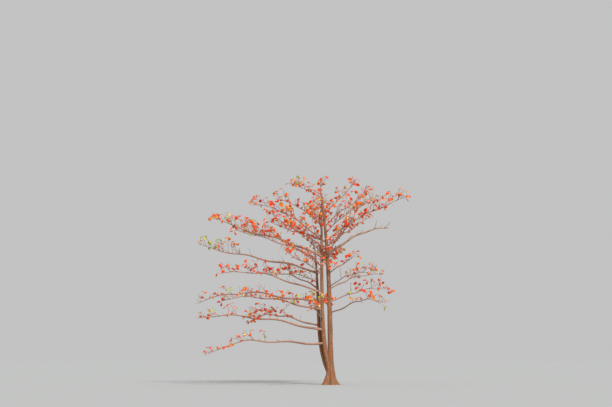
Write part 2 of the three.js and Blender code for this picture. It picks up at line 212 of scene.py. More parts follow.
# The way a shoot sets out: turned off its limb's level heading, then raised
def wayOut(level, turn, rise):
    return raised(unit(turned(level, turn)), rise)


def tangentOf(path, share):
    step = 0.001
    before = max(0, share - step)
    return unit(path(before + step) - path(before))


# Paths: each takes a share from 0 at the root to 1 at the tip
def trunkAxisAt(height):
    trunk = stemPlan["trunk"]
    leaning = trunk["lean"] * (height / trunk["top"]) ** stemPowers["lean"]
    return levelDirection(trunk["bearing"]) * leaning


def stemPath(name):
    stem = stemPlan[name]
    outward = levelDirection(stem["bearing"])
    base = np.zeros(3) if name == "trunk" else trunkAxisAt(stem["foot"])

    def path(share):
        offset = stem["spread"] * (1 - (1 - share) ** stemPowers["spread"])
        offset += stem["lean"] * share ** stemPowers["lean"]
        height = stem["foot"] + (stem["top"] - stem["foot"]) * share
        return base + upward * height + outward * offset

    return path


stemPaths = {name: stemPath(name) for name in stemPlan}


def pointOnStem(name, height):
    stem = stemPlan[name]
    return stemPaths[name]((height - stem["foot"]) / (stem["top"] - stem["foot"]))


def boughPath(bough, index):
    root = pointOnStem(bough["stem"], bough["start"])
    outward = levelDirection(bough["bearing"])
    sideways = levelDirection(bough["bearing"] + 90)
    reach = bough["reach"]
    sway = reach * boughBend["sway"] * (1 if index % 2 else -1)
    ripple = reach * boughBend["ripple"]

    def path(share):
        climb = share + boughBend["levelling"] * math.sin(2 * math.pi * share) / (2 * math.pi)
        arched = bough["arch"] * math.sin(math.pi * max(0, share) ** boughBend["archPower"])
        rippling = math.sin(boughBend["ripples"] * math.pi * share + index)
        rippled = ripple * math.sin(math.pi * share) * rippling
        drift = sway * math.sin(2 * math.pi * boughBend["swayTurns"] * share)
        lift = (bough["tip"] - bough["start"]) * climb + arched + rippled
        return root + outward * reach * share + sideways * drift + upward * lift

    return path


def crestPath(crest):
    stem, rise, drift, bearing = crest
    root = stemPaths[stem](1)
    heading = tangentOf(stemPaths[stem], 1)
    outward = levelDirection(bearing)
    return lambda share: root + heading * rise * share + outward * drift * share**2


def stemRadius(name):
    stem = stemPlan[name]

    def radius(share, angle):
        taper = stem["tip"] + (stem["root"] - stem["tip"]) * max(0, 1 - share) ** stemPowers["taper"]
        if name != "trunk":
            return taper
        onRidge = 0.5 + 0.5 * math.cos(rootFlare["buttresses"] * angle)
        ends = zip(rootFlare["valley"], rootFlare["ridge"])
        spread, height = (low + (high - low) * onRidge for low, high in ends)
        return taper + rootFlare["spread"] * spread * math.exp(-stem["top"] * share / height)

    return radius


def boughRadius(reach, girth):
    tip = boughRadii["tip"]
    root = max(boughRadii["leastRoot"], boughRadii["rootShare"] * reach)
    return lambda share, angle: girth * (tip + (root - tip) * (1 - min(1, share)) ** boughRadii["taperPower"])


def crestRadius(stem):
    root = stemPlan[stem]["tip"]
    return lambda share, angle: root + (boughRadii["tip"] - root) * max(0, share)


# The room of each mass: an ellipsoid round its own stem
def roomAround(path, start, twigLength):
    first = path(start)
    last = path(1)
    axis = unit(last - first)
    steep = abs(axis[2]) > steepRise
    sideways = unit(np.cross(awayward if steep else upward, axis))
    third = np.cross(axis, sideways)
    halfWidth = twigLength + room["sideMargin"]
    halfHeight = halfWidth if steep else room["height"]
    halfLength = np.linalg.norm(last - first) / 2 + room["endMargin"]
    axes = np.array([axis / halfLength, sideways / halfWidth, third / halfHeight])
    centre = (first + last) / 4 + path((start + 1) / 2) / 2
    return lambda points: np.linalg.norm((points - centre) @ axes.T, axis=1)


def makeBoughs():
    boughs = []
    for index, (name, row) in enumerate(boughPlan.items()):
        plan = dict(zip(boughFields, row))
        boughs.append({
            "name": name,
            "path": boughPath(plan, index),
            "bare": plan["bare"],
            "reach": plan["reach"],
            "radius": boughRadius(plan["reach"], boughGirth.get(name, 1)),
        })
    return boughs


def makeMasses():
    masses = []
    for bough in boughs:
        if bough["bare"] < 1:
            masses.append({
                **bough,
                "from": bough["bare"],
                "length": bough["reach"] * (1 - bough["bare"]),
                "twigLength": min(twigForm["most"], twigForm["lengthShare"] * bough["reach"]),
            })
    for name, crest in crestPlan.items():
        stem, rise, drift, _ = crest
        masses.append({
            "name": name,
            "path": crestPath(crest),
            "from": 0,
            "length": math.hypot(rise, drift),
            "twigLength": twigForm["onCrest"],
            "radius": crestRadius(stem),
        })
    for index, mass in enumerate(masses):
        mass["index"] = index
        mass["roomShare"] = roomAround(mass["path"], mass["from"], mass["twigLength"])
    return masses


# Places along the stems and the bare part of each bough, with the radius there, to keep the foliage off them
def limbSamples():
    places = []
    radii = []

    def addSamples(path, radius, last, length):
        count = math.ceil(length / limbSampleSpacing)
        for i in range(count + 1):
            places.append(path(last * i / count))
            radii.append(radius(last * i / count, 0))

    for name, stem in stemPlan.items():
        addSamples(stemPaths[name], stemRadius(name), 1, stem["top"] - stem["foot"])
    for bough in boughs:
        if bough["bare"] > 0:
            addSamples(bough["path"], bough["radius"], bough["bare"], bough["reach"] * bough["bare"])
    return np.array(places), np.array(radii)


boughs = makeBoughs()
masses = makeMasses()
limbPlaces, limbRadii = limbSamples()


def clearOfLimbs(points, gap):
    distances = np.linalg.norm(points[:, None, :] - limbPlaces[None, :, :], axis=2)
    return bool(np.all(distances > limbRadii + gap))


def keepsClear(points, mass):
    points = np.array(points)
    own = mass["roomShare"](points)
    if np.any(own > 1):
        return False
    for other in masses:
        if other is not mass and np.any(other["roomShare"](points) < own + room["border"]):
            return False
    return clearOfLimbs(points, room["limbGap"])


def axesRound(heading):
    across = unit(np.cross(heading, rightward if abs(heading[2]) > steepShootRise else upward))
    return across, np.cross(heading, across)


# The rule that places the sprays round the end of a shoot
def spraysRound(end, along, heading, count, draw):
    across, other = axesRound(heading)
    turn = draw()
    sprays = []
    for i in range(count):
        angle = 2 * math.pi * (i + turn + rosetteOfSprays["jitter"] * draw()) / count
        tilt = math.radians(rosetteOfSprays["leastTilt"] + rosetteOfSprays["tiltSpread"] * draw())
        direction = swung(heading, swung(across, other, angle), tilt)
        root = end - along * (sprayForm["sunk"] + i * sprayForm["spacing"])
        sprays.append({"root": root, "direction": direction, "face": heading})
    return sprays


def twigsAlong(mass, draw):
    tip = min(max(mass["path"](1)[2], twigSpacing["lowTip"]), twigSpacing["highTip"])
    share = (tip - twigSpacing["lowTip"]) / (twigSpacing["highTip"] - twigSpacing["lowTip"])
    spacing = twigSpacing["lowSpacing"] + (twigSpacing["highSpacing"] - twigSpacing["lowSpacing"]) * share
    count = max(twigForm["fewest"], math.floor(mass["length"] / spacing + 0.5))
    twigs = []
    for i in range(count):
        place = (i + twigPlaces["first"] + twigPlaces["jitter"] * draw()) / (count + twigPlaces["spare"])
        share = mass["from"] + (1 - mass["from"]) * place
        side = 1 if (i + mass["index"]) % 2 else -1
        turn = twigAngle["fromStem"] + twigAngle["spread"] * (2 * draw() - 1)
        rise = twigAngle["lowestRise"] + twigAngle["rise"] * draw()
        shortened = mass["twigLength"] * (1 - twigVariety["shortening"] * place)
        varied = shortened * (twigVariety["least"] + twigVariety["spread"] * draw())
        reach = max(twigForm["least"], varied)
        outward = turned(tangentOf(mass["path"], share), side * turn)
        along = raised(outward, rise)
        root = mass["path"](share)
        heading = unit(along + upward * twigAngle["upturn"])
        twigs.append({"root": root, "end": root + along * reach, "along": along, "heading": heading})
    return twigs


def sprayPoints(spray):
    side = unit(np.cross(spray["direction"], spray["face"]))
    widest = sprayForm["widest"]
    nearTip = (1 + widest) / 2
    spots = [(sprayForm["inner"], 0), (widest, 0), (1, 0)]  # shares of the length and of the width
    spots += [(widest, 0.5), (widest, -0.5), (nearTip, 0.25), (nearTip, -0.25)]
    along = spray["direction"] * sprayForm["length"]
    return [spray["root"] + along * a + side * b * sprayForm["width"] for a, b in spots]


# The first growth is the frame's own: the same seeds give the same twigs and the same sprays
def firstGrowth(mass):
    draw = drawsFrom(mass["index"] + 1)
    along = tangentOf(mass["path"], 1)
    heading = unit(along + upward * twigAngle["tipUpturn"])
    sprays = spraysRound(mass["path"](1), along, heading, rosetteOfSprays["onTip"], draw)
    twigs = []
    for twig in twigsAlong(mass, draw):
        onTwig = spraysRound(twig["end"], twig["along"], twig["heading"], rosetteOfSprays["onTwig"], draw)
        samples = [twig["root"] + (twig["end"] - twig["root"]) * share for share in twigSamples]
        if keepsClear(samples, mass):
            twigs.append(twig)
            sprays += onTwig
    return twigs, [spray for spray in sprays if keepsClear(sprayPoints(spray), mass)]


# The finer growth: more twigs from each mass's stem, side shoots on every twig, and leaves at their ends
finerGrowth = {
    "seed": 400,
    "twigRadius": (0.017, 0.009),
    "shootRadius": (0.009, 0.006),
    "twigPoints": 7,
    "sag": 0.05,  # share of a twig's length
    "sidesFrom": 0.2,  # where a twig's side shoots start, and the share of the twig that they take up
    "sidesShare": 0.75,
    "tipUpturn": 0.05,
    "innerShare": 0.96,  # of its mass's room, which a shoot keeps to
    "bareShare": 0.35,  # of the shoots that come out leafless, which are still made
    "tintKept": 0.5,  # share of the side shoots in the tint of their twig
}
# Shoots: turn and rise in degrees, first and jitter as shares of the step from one shoot to the next. A reach
# is in metres, but in fillShoot a share of the mass's twig length. A lift is a share of the reach, but in
# sprayShoot metres
sprayShoot = {"reach": 0.34, "lift": (0.04, 0.14), "points": 6}
fillShoot = {
    "spacing": 0.3, "first": 0.2, "jitter": 0.6, "turn": (28, 95), "rise": (22, 80), "reach": (0.45, 1.2),
    "lift": 0.2, "points": 7, "atLimb": 2, "limbGap": 0.02,
}
sideShoot = {
    "spacing": 0.3, "first": 0.25, "jitter": 0.6, "turn": (35, 75), "rise": (5, 60), "reach": (0.12, 0.36),
    "lift": 0.22, "points": 5,
}
shootBend = {"wander": 0.035, "swing": 5, "whim": (7, 11, 13)}
bud = {"length": 0.12, "swollen": 1.4, "tip": 0.6}
# How full of leaves each mass is, where it isn't 1
fullness = {
    "left_middle": 0.5, "left_foot": 0.6, "left_outer": 0.22, "left_skirt": 0.45, "right_low": 0.45,
    "trunk_top": 0.8, "middle_top": 1.35, "front_low": 0.5, "front_right_low": 0.5, "front_right_middle": 0.4,
    "back_right_middle": 0.45, "back_left_middle": 0.45, "left_shoulder": 0.45, "back_left_high": 0.4,
    "back_right_high": 0.55, "front_left_high": 0.45, "left_crest": 0.8, "right_crest": 0.7,
    "right_rise": 0.75, "front_left_middle": 0.7, "left_nook": 0.6, "right_inner": 0.7, "left_rise": 0.9,
    "top_right": 1.6, "left_high": 2.1, "left_front": 0.85,
}
leafForm = {
    "length": (0.25, 0.34),
    "onSpray": (0.9, 2.7),
    "onShoot": (0.6, 2.4),
    "jitter": 0.4,
    "tilt": (30, 88),
    "droop": (0.2, 1.5),
    "roll": 42,
    "samples": (0.45, 0.75, 1),
    "limbGap": 0.012,
    "apart": 0.33,
    "forms": 8,
}
# Autumn tints as plain colours, with the share of the sprays that each takes; the pale salmon and amber tints
# are partly real leaf colour and partly painted sheen highlights
leafTints = {
    "scarlet": {"colour": (0.95, 0.04, 0.004), "share": 0.31, "slot": "leaf_scarlet"},
    "vermilion": {"colour": (1, 0.1, 0.006), "share": 0.3, "slot": "leaf_scarlet"},
    # salmon leaves, made pale to serve partly as painted pinkish-white sheen highlights
    "salmon": {"colour": (0.98, 0.24, 0.16), "share": 0.2, "slot": "leaf_salmon"},
    "crimson": {"colour": (0.5, 0.018, 0.01), "share": 0.03, "slot": "leaf_crimson"},
    "orange": {"colour": (1, 0.22, 0.012), "share": 0.09, "slot": "leaf_orange"},
    # amber leaves, partly real yellow-orange leaves and partly painted pale sheen highlights
    "amber": {"colour": (0.95, 0.5, 0.14), "share": 0.03, "slot": "leaf_amber"},
    "green": {"colour": (0.44, 0.48, 0.06), "share": 0.04, "slot": "leaf_green"},
}
# Share of the sprays that are still green in a few masses, and how far out from the stems that starts
greenerMasses = {"left_middle": (0.95, 7.2), "top_right": (0.15, 0)}
growth = {"twigs": [], "leaves": []}


def pickTint(draw, mass, place):
    share, reach = greenerMasses.get(mass["name"], (0, 0))
    if math.hypot(place[0], place[1]) > reach and draw() < share:
        return "green"
    rest = draw()
    for name, tint in leafTints.items():
        rest -= tint["share"]
        if rest < 0:
            return name
    return "scarlet"


def between(bounds, draw):
    return bounds[0] + (bounds[1] - bounds[0]) * draw()


def drawShoot(form, i, draw):
    # to the left and to the right by turns
    turn = between(form["turn"], draw) * (1 if i % 2 else -1)
    rise = between(form["rise"], draw)
    return turn, rise, between(form["reach"], draw)


def inRoom(points, mass, share):
    points = np.array(points)
    inBox = np.all(points > cadLow) and np.all(points < cadHigh)
    return inBox and np.all(mass["roomShare"](points) < share)


def bentShoot(root, direction, length, lift, count):
    # sets out along its direction, turns upward and wanders a little from side to side
    sideways = unit(np.cross(direction, upward) + nudge)
    phase = root @ shootBend["whim"]  # a whim of its own at every place
    points = []
    for share in np.linspace(0, 1, count):
        swing = math.sin(shootBend["swing"] * share + phase) - math.sin(phase)
        drift = sideways * shootBend["wander"] * length * swing * share
        points.append(root + direction * length * share + upward * lift * share**2 + drift)
    return points


def tipHeading(points):
    return unit(points[-1] - points[-2] + upward * finerGrowth["tipUpturn"])


def addTwig(points, radii):
    # tapers to a swollen bud
    thick, thin = radii
    last = points[-1] + (points[-1] - points[-2]) * bud["length"]
    along = list(np.linspace(thick, thin, len(points)))[:-1]
    growth["twigs"].append((points + [last], along + [thin * bud["swollen"], thin * bud["tip"]]))


# Rosettes keep apart from one another, so the crown stays thin and even: a grid of cells finds the near ones
rosetteCells = {}


def cellOf(place):
    return tuple(int(x // leafForm["apart"]) for x in place)


def standsApart(place, apart):
    cell = cellOf(place)
    steps = (-1, 0, 1)
    near = [other for i in steps for j in steps for k in steps
            for other in rosetteCells.get((cell[0] + i, cell[1] + j, cell[2] + k), [])]
    return all(np.linalg.norm(other - place) > apart for other in near)


# Adds one rosette and tells whether its shoot is to be made
def addLeaves(mass, end, heading, tint, counts, draw):
    count = int(between(counts, draw) + 0.5)
    full = fullness.get(mass["name"], 1)
    wanted = draw() < full and standsApart(end, leafForm["apart"] / max(1, full) ** 0.5)
    before = len(growth["leaves"])
    across, other = axesRound(heading)
    turn = draw()
    for i in range(count):
        angle = 2 * math.pi * (i + turn + leafForm["jitter"] * draw()) / count
        tilt = math.radians(between(leafForm["tilt"], draw))
        length = between(leafForm["length"], draw)
        droop = between(leafForm["droop"], draw)
        direction = unit(swung(heading, swung(across, other, angle), tilt) - upward * droop)
        roll = math.radians(leafForm["roll"]) * (2 * draw() - 1)
        form = int(draw() * leafForm["forms"])
        places = [end + direction * length * share for share in leafForm["samples"]]
        if wanted and inRoom(places, mass, 1) and clearOfLimbs(np.array(places), leafForm["limbGap"]):
            side = unit(np.cross(direction, heading))
            growth["leaves"].append({
                "root": end,
                "direction": direction,
                "side": swung(side, np.cross(direction, side), roll),
                "length": length,
                "form": form,
                "tint": tint,
            })
    if len(growth["leaves"]) > before:
        rosetteCells.setdefault(cellOf(end), []).append(end)
        return True
    return draw() < finerGrowth["bareShare"]


# Side shoots, each with leaves at its end; some keep the tint of their twig, if it has one
def addSides(mass, placeAt, length, tint, draw):
    count = max(1, round(length / sideShoot["spacing"]))
    for i in range(count):
        root, heading = placeAt((i + sideShoot["first"] + sideShoot["jitter"] * draw()) / count)
        turn, rise, reach = drawShoot(sideShoot, i, draw)
        direction = wayOut(heading * levelPart + nudge, turn, rise)
        points = bentShoot(root, direction, reach, sideShoot["lift"] * reach, sideShoot["points"])
        sideTint = tint if tint and draw() < finerGrowth["tintKept"] else pickTint(draw, mass, root)
        fits = inRoom(points, mass, finerGrowth["innerShare"])
        heading = unit(direction + upward)
        if fits and addLeaves(mass, points[-1], heading, sideTint, leafForm["onShoot"], draw):
            addTwig(points, finerGrowth["shootRadius"])


def addTwigWithSides(mass, points, tint, draw):
    addTwig(points, finerGrowth["twigRadius"])
    line = np.array(points)
    length = float(np.sum(np.linalg.norm(np.diff(line, axis=0), axis=1)))

    def placeAt(share):
        place = (finerGrowth["sidesFrom"] + finerGrowth["sidesShare"] * share) * (len(points) - 1)
        i = min(int(place), len(points) - 2)
        return line[i] + (line[i + 1] - line[i]) * (place - i), unit(line[i + 1] - line[i])

    addSides(mass, placeAt, finerGrowth["sidesShare"] * length, tint, draw)


def addFirstTwig(mass, twig, draw):
    reach = twig["end"] - twig["root"]
    sag = finerGrowth["sag"] * np.linalg.norm(reach)
    shares = np.linspace(0, 1, finerGrowth["twigPoints"])
    line = [twig["root"] + reach * share - upward * sag * math.sin(math.pi * share) for share in shares]
    addTwigWithSides(mass, line, pickTint(draw, mass, twig["end"]), draw)


def addSpray(mass, spray, draw):
    tint = pickTint(draw, mass, spray["root"])
    lift = between(sprayShoot["lift"], draw)
    points = bentShoot(spray["root"], spray["direction"], sprayShoot["reach"], lift, sprayShoot["points"])
    heading = tipHeading(points)
    middle = points[len(points) // 2]
    atEnd = addLeaves(mass, points[-1], heading, tint, leafForm["onSpray"], draw)
    atMiddle = addLeaves(mass, middle, unit(heading + upward), tint, leafForm["onShoot"], draw)
    if atEnd or atMiddle:
        addTwig(points, finerGrowth["shootRadius"])


# Fills a mass with more twigs; the first points of each are still at its limb
def addFill(mass, draw):
    path = mass["path"]
    start = mass["from"]
    count = round(mass["length"] / fillShoot["spacing"] * max(1, fullness.get(mass["name"], 1)))
    for i in range(count):
        share = start + (1 - start) * (i + fillShoot["first"] + fillShoot["jitter"] * draw()) / count
        turn, rise, reach = drawShoot(fillShoot, i, draw)
        reach *= mass["twigLength"]
        direction = wayOut(tangentOf(path, share) * levelPart + nudge, turn, rise)
        points = bentShoot(path(share), direction, reach, fillShoot["lift"] * reach, fillShoot["points"])
        tint = pickTint(draw, mass, points[-1])
        outer = np.array(points[fillShoot["atLimb"]:])
        fits = inRoom(points, mass, finerGrowth["innerShare"]) and clearOfLimbs(outer, fillShoot["limbGap"])
        if fits and addLeaves(mass, points[-1], tipHeading(points), tint, leafForm["onSpray"], draw):
            addTwigWithSides(mass, points, tint, draw)


def growMass(mass):
    draw = drawsFrom(finerGrowth["seed"] + mass["index"])
    twigs, sprays = firstGrowth(mass)
    for twig in twigs:
        addFirstTwig(mass, twig, draw)
    for spray in sprays:
        addSpray(mass, spray, draw)
    addFill(mass, draw)

    def placeAt(share):
        place = mass["from"] + (1 - mass["from"]) * share
        return mass["path"](place), tangentOf(mass["path"], place)

    addSides(mass, placeAt, mass["length"], None, draw)
    return len(twigs), len(sprays)


# Short bare spurs along the leafless part of each living bough
spurForm = {
    "seed": 800, "from": 0.22, "spacing": 0.42, "jitter": 0.8, "turn": (35, 80), "rise": (-15, 65),
    "reach": (0.1, 0.55), "lift": 0.3, "points": 5, "radius": (0.012, 0.006),
}


def addSpurs(bough, index):
    draw = drawsFrom(spurForm["seed"] + index)
    path = bough["path"]
    bareLength = bough["reach"] * (bough["bare"] - spurForm["from"])
    for i in range(max(0, round(bareLength / spurForm["spacing"]))):
        share = spurForm["from"] + spurForm["spacing"] * (i + spurForm["jitter"] * draw()) / bough["reach"]
        turn, rise, reach = drawShoot(spurForm, i, draw)
        direction = wayOut(tangentOf(path, share) * levelPart, turn, rise)
        addTwig(bentShoot(path(share), direction, reach, spurForm["lift"] * reach, spurForm["points"]),
                spurForm["radius"])


firstCounts = [growMass(mass) for mass in masses]
for index, bough in enumerate(boughs):
    if bough["bare"] < 1:
        addSpurs(bough, index)
twigCount, sprayCount = (sum(counts) for counts in zip(*firstCounts))
print("grown:", twigCount, "twigs,", sprayCount, "sprays,",
      len(growth["twigs"]), "shoots,", len(growth["leaves"]), "leaves")


# Meshes and objects
def newMesh(name, points, edges, faces):
    mesh = bpy.data.meshes.new(name)
    mesh.from_pydata([tuple(point) for point in points], edges, faces)
    return mesh


def setAttribute(mesh, name, kind, values):
    field = "vector" if kind == "FLOAT_VECTOR" else "value"
    numbers = np.array(values, dtype=np.int32 if kind == "INT" else np.float32)
    mesh.attributes.new(name, kind, "POINT").data.foreach_set(field, numbers.ravel())


def inScene(name, data):
    thing = bpy.data.objects.new(name, data)
    bpy.context.scene.collection.objects.link(thing)
    return thing


# Bark relief: long furrows between low ridges, on a slow swell of the whole limb
barkRelief = {
    "furrowScale": 15,
    "furrowStretch": 0.16,
    "furrowDepth": 0.05,
    "furrowNoise": (0.8, 2.1, 4),  # dimension, lacunarity and octaves
    "ridge": 0.6,
    "cut": 2,
    "swell": 0.1,
    "swellAcross": 3,
    "swellAlong": 1.4,
}


def reliefAt(place, radius):
    x, y, z = place
    scale = barkRelief["furrowScale"]
    across = barkRelief["swellAcross"]
    furrowPlace = (x * scale, y * scale, z * scale * barkRelief["furrowStretch"])
    depth = abs(noise.fractal(furrowPlace, *barkRelief["furrowNoise"]))
    furrows = barkRelief["furrowDepth"] * (barkRelief["ridge"] - barkRelief["cut"] * depth)
    swell = noise.noise((x * across, y * across, z * barkRelief["swellAlong"]))
    return radius * (furrows + barkRelief["swell"] * swell)


def noLimbs():
    return {"points": [], "places": [], "faces": []}


# A limb is a closed tube of rings along its path; its bark place runs with it, and its offset keeps the bark
# of one limb unlike the next
def addLimb(limbs, path, radius, shares, sides, offset):
    first = tangentOf(path, max(0, shares[0]))
    reference = rightward if abs(first[2]) > steepRise else upward
    base = len(limbs["points"])
    run = 0
    centre = path(shares[0])
    for share in shares:
        heading = tangentOf(path, max(0, share))
        across = unit(reference - heading * np.dot(reference, heading))
        other = np.cross(across, heading)
        run += np.linalg.norm(path(share) - centre)
        centre = path(share)
        for j in range(sides):
            angle = 2 * math.pi * j / sides
            r = radius(share, angle)
            place = (math.cos(angle) * r + offset, math.sin(angle) * r, run)
            r += reliefAt(place, r)
            limbs["points"].append(centre + swung(across, other, angle) * r)
            limbs["places"].append(place)

    def cornersOf(ring):
        start = base + ring * sides
        return [(start + j, start + (j + 1) % sides) for j in range(sides)]

    lastRing = len(shares) - 1
    for ring in range(lastRing):
        limbs["faces"] += [(a, a + sides, b + sides, b) for a, b in cornersOf(ring)]
    for point, ring in ((path(shares[0]), 0), (path(shares[-1]), lastRing)):
        hub = len(limbs["points"])
        limbs["points"].append(point)
        limbs["places"].append((offset, 0, run if ring else 0))
        limbs["faces"] += [(hub, b, a) if ring else (hub, a, b) for a, b in cornersOf(ring)]


def limbObject(name, limbs, material):
    mesh = newMesh(name, limbs["points"], [], limbs["faces"])
    setAttribute(mesh, "barkPlace", "FLOAT_VECTOR", limbs["places"])
    mesh.shade_smooth()
    mesh.materials.append(material)
    return inScene(name, mesh)


# Helpers for nodes: each input takes a plain value, or a link from another node's output
def setInputs(tree, node, inputs):
    for socket, source in inputs.items():
        if isinstance(source, bpy.types.NodeSocket):
            tree.links.new(source, node.inputs[socket])
        else:
            node.inputs[socket].default_value = source
    return node


def addNode(tree, kind, inputs):
    return setInputs(tree, tree.nodes.new(kind), inputs)


def calculate(tree, operation, *values):
    node = addNode(tree, "ShaderNodeMath", dict(enumerate(values)))
    node.operation = operation
    return node.outputs[0]


def newGroup(name, kind, inputs, outputs):
    group = bpy.data.node_groups.new(name, kind)
    for side, sockets in (("INPUT", inputs), ("OUTPUT", outputs)):
        for socket, socketKind in sockets.items():
            group.interface.new_socket(socket, in_out=side, socket_type="NodeSocket" + socketKind)
    return group, group.nodes.new("NodeGroupInput").outputs, group.nodes.new("NodeGroupOutput")


def newMaterial(name):
    material = bpy.data.materials.new(name)
    material.use_nodes = True
    return material, material.node_tree, material.node_tree.nodes["Principled BSDF"]


def placeAttribute(tree, name):
    node = tree.nodes.new("ShaderNodeAttribute")
    node.attribute_name = name
    return node.outputs["Vector"]


# Each stop of a ramp has its place and how bright it is
def greyRamp(tree, source, stops):
    node = tree.nodes.new("ShaderNodeValToRGB")
    elements = node.color_ramp.elements
    for element, (place, value) in zip(elements, (stops[0], stops[-1])):
        element.position = place
        element.color = (value, value, value, 1)
    for place, value in stops[1:-1]:
        elements.new(place).color = (value, value, value, 1)
    tree.links.new(source, node.inputs[0])
    return node.outputs[0]


# Lays a pattern over a material, with its height as a bump
def layPattern(tree, shader, group, look, inputs):
    pattern = tree.nodes.new("ShaderNodeGroup")
    pattern.node_tree = group
    outputs = setInputs(tree, pattern, inputs).outputs
    bump = {"Strength": look["bump"], "Distance": look["bumpDistance"], "Height": outputs["Height"]}
    relief = addNode(tree, "ShaderNodeBump", bump)
    setInputs(tree, shader, {"Roughness": outputs["Roughness"], "Normal": relief.outputs["Normal"]})
    return outputs


# Bark pattern: long plates with narrow cracks between them, shallow furrows, fine grain, warm and cool
# patches, and pale lichen spots
barkColours = ("Ridge", "Furrow", "Patch", "Lichen")
barkWarp = {"stretch": (1, 1, 0.16), "middle": (0.5, 0.5, 0.5), "bend": (0.06, 0.06, 0.06)}
barkNoises = {
    "wobble": {"Scale": 7, "Detail": 3, "Roughness": 0.6},
    "furrows": {"Detail": 6, "Roughness": 0.62, "Distortion": 0.5},
    "healing": {"Scale": 5, "Detail": 4, "Roughness": 0.65},
    "patches": {"Scale": 2.6, "Detail": 3, "Roughness": 0.5},
    "spots": {"Scale": 9, "Detail": 5, "Roughness": 0.7},
    "grain": {"Scale": 90, "Detail": 4, "Roughness": 0.6},
}
barkStops = {
    "furrows": [(0.34, 0.25), (0.5, 0.75), (0.66, 1)],
    "cracks": [(0, 0.2), (0.05, 0.7), (0.16, 1)],
    "healing": [(0.42, 0.2), (0.6, 0.95)],
    "grain": [(0.3, 0.68), (0.62, 1)],
    "patches": [(0.42, 0), (0.62, 0.8)],
    "spots": [(0.58, 0), (0.64, 1)],
}
barkRoughness = {"To Min": 0.95, "To Max": 0.74}  # in the furrows and on the ridges


def makeBarkPattern():
    inputs = {"Place": "Vector", "Furrow Scale": "Float", "Plate Scale": "Float", "Lichen Amount": "Float"}
    inputs.update({colour: "Color" for colour in barkColours})
    outputs = {"Color": "Color", "Roughness": "Float", "Height": "Float"}
    group, given, result = newGroup("barkPattern", "ShaderNodeTree", inputs, outputs)

    def noiseAt(place, values):
        return addNode(group, "ShaderNodeTexNoise", {"Vector": place, **values}).outputs

    def shapedNoise(name, place):
        return greyRamp(group, noiseAt(place, barkNoises[name])[0], barkStops[name])

    def vectorMath(operation, first, second):
        node = addNode(group, "ShaderNodeVectorMath", {0: first, 1: second})
        node.operation = operation
        return node.outputs[0]

    def blend(factor, first, second):
        node = group.nodes.new("ShaderNodeMix")
        node.data_type = "RGBA"
        return setInputs(group, node, {"Factor": factor, "A": first, "B": second}).outputs["Result"]

    place = given["Place"]
    stretched = vectorMath("MULTIPLY", place, barkWarp["stretch"])
    wobble = vectorMath("SUBTRACT", noiseAt(place, barkNoises["wobble"])["Color"], barkWarp["middle"])
    warped = vectorMath("ADD", stretched, vectorMath("MULTIPLY", wobble, barkWarp["bend"]))
    cracks = group.nodes.new("ShaderNodeTexVoronoi")
    cracks.feature = "DISTANCE_TO_EDGE"
    setInputs(group, cracks, {"Vector": warped, "Scale": given["Plate Scale"]})
    cracked = greyRamp(group, cracks.outputs["Distance"], barkStops["cracks"])
    plates = calculate(group, "MAXIMUM", cracked, shapedNoise("healing", warped))
    furrowNoise = noiseAt(warped, {**barkNoises["furrows"], "Scale": given["Furrow Scale"]})
    furrows = greyRamp(group, furrowNoise[0], barkStops["furrows"])
    ridges = calculate(group, "MULTIPLY", furrows, plates)
    height = calculate(group, "MULTIPLY", ridges, shapedNoise("grain", stretched))
    patches = shapedNoise("patches", place)
    spots = calculate(group, "MULTIPLY", shapedNoise("spots", place), given["Lichen Amount"])
    furrowed = blend(height, given["Furrow"], blend(patches, given["Ridge"], given["Patch"]))
    spotted = blend(calculate(group, "MULTIPLY", spots, height), furrowed, given["Lichen"])
    rough = addNode(group, "ShaderNodeMapRange", {"Value": height, **barkRoughness})
    setInputs(group, result, {"Color": spotted, "Roughness": rough.outputs[0], "Height": height})
    return group


barkPattern = makeBarkPattern()


def barkMaterial(name, look, byAttribute=True):
    material, tree, shader = newMaterial(name)
    if byAttribute:
        place = placeAttribute(tree, "barkPlace")
    else:
        place = tree.nodes.new("ShaderNodeTexCoord").outputs["Object"]
    pattern = layPattern(tree, shader, barkPattern, look, {
        "Place": place,
        "Furrow Scale": look["furrowScale"],
        "Plate Scale": look["plateScale"],
        "Lichen Amount": look["lichenAmount"],
        **{colour: (*look[colour.lower()], 1) for colour in barkColours},
    })
    setInputs(tree, shader, {"Base Color": pattern["Color"]})
    return material


# Stems: one piece each, in place of the frame's three stems
stemLook = {
    "furrowScale": 30, "plateScale": 24, "lichenAmount": 0.4, "bump": 0.9, "bumpDistance": 0.014,
    "ridge": (0.43, 0.165, 0.062), "furrow": (0.09, 0.034, 0.016),
    "patch": (0.38, 0.19, 0.095), "lichen": (0.5, 0.38, 0.25),
}
stemMesh = {
    "trunk": {"sides": 72, "steps": 300, "crowding": 1.35, "offset": 0},
    "middle": {"sides": 48, "steps": 230, "crowding": 1, "offset": 3},
    "left": {"sides": 44, "steps": 190, "crowding": 1, "offset": 6},
}
stemBark = barkMaterial("stemBark", stemLook)


def makeStem(name):
    size = stemMesh[name]
    shares = [share ** size["crowding"] for share in evenShares(size["steps"])]
    limbs = noLimbs()
    addLimb(limbs, stemPaths[name], stemRadius(name), shares, size["sides"], size["offset"])
    piece = limbObject(name + "Bark", limbs, stemBark)
    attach(piece, "root")
    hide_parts("trunk" if name == "trunk" else "stem_" + name)


for name in stemPlan:
    makeStem(name)
print("stems:", len(stemPlan))

